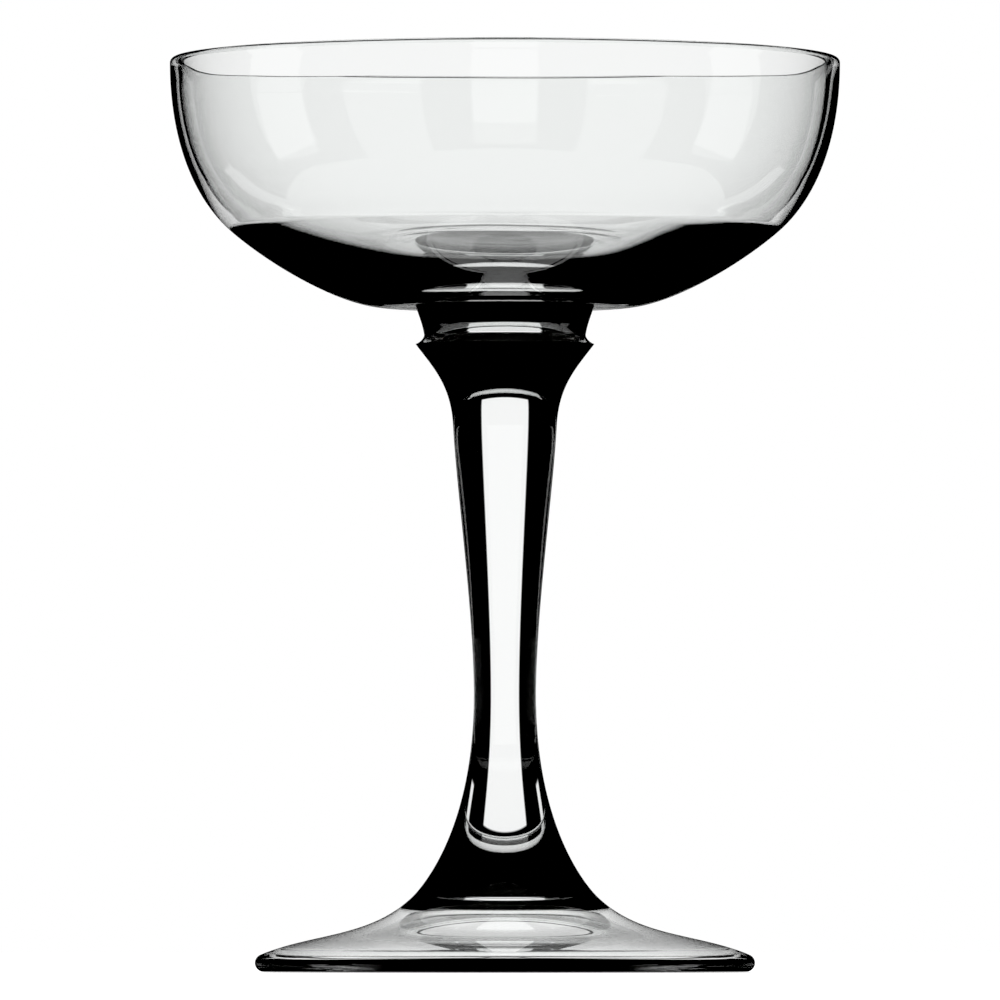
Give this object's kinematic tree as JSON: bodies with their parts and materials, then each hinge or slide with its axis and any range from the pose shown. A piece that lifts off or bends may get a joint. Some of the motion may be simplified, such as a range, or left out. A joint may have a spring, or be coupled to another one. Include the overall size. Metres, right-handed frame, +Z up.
{
  "type": "coupe glass",
  "caption": "Shallow round bowl on a short neck, a tall solid waisted stem and a wide round foot, all in clear glass.",
  "frame": {"origin": "centre of the ring under the foot that rests on the table", "axes": "+Z up along the axis of the stem, towards the rim of the bowl; X and Y are any two level directions"},
  "size_m": [0.095, 0.095, 0.1295],
  "materials": {
    "bowl_glass": "clear, fire-polished thin blown glass",
    "neck_glass": "clear solid glass with a smooth drawn surface",
    "stem_glass": "clear solid glass with a smooth drawn surface",
    "foot_glass": "clear pressed glass with a rounded, fire-polished edge"
  },
  "bodies": {
    "root": {"bowl": "bowl_glass", "neck_button": "neck_glass", "stem": "stem_glass", "foot": "foot_glass"}
  },
  "joints": []
}
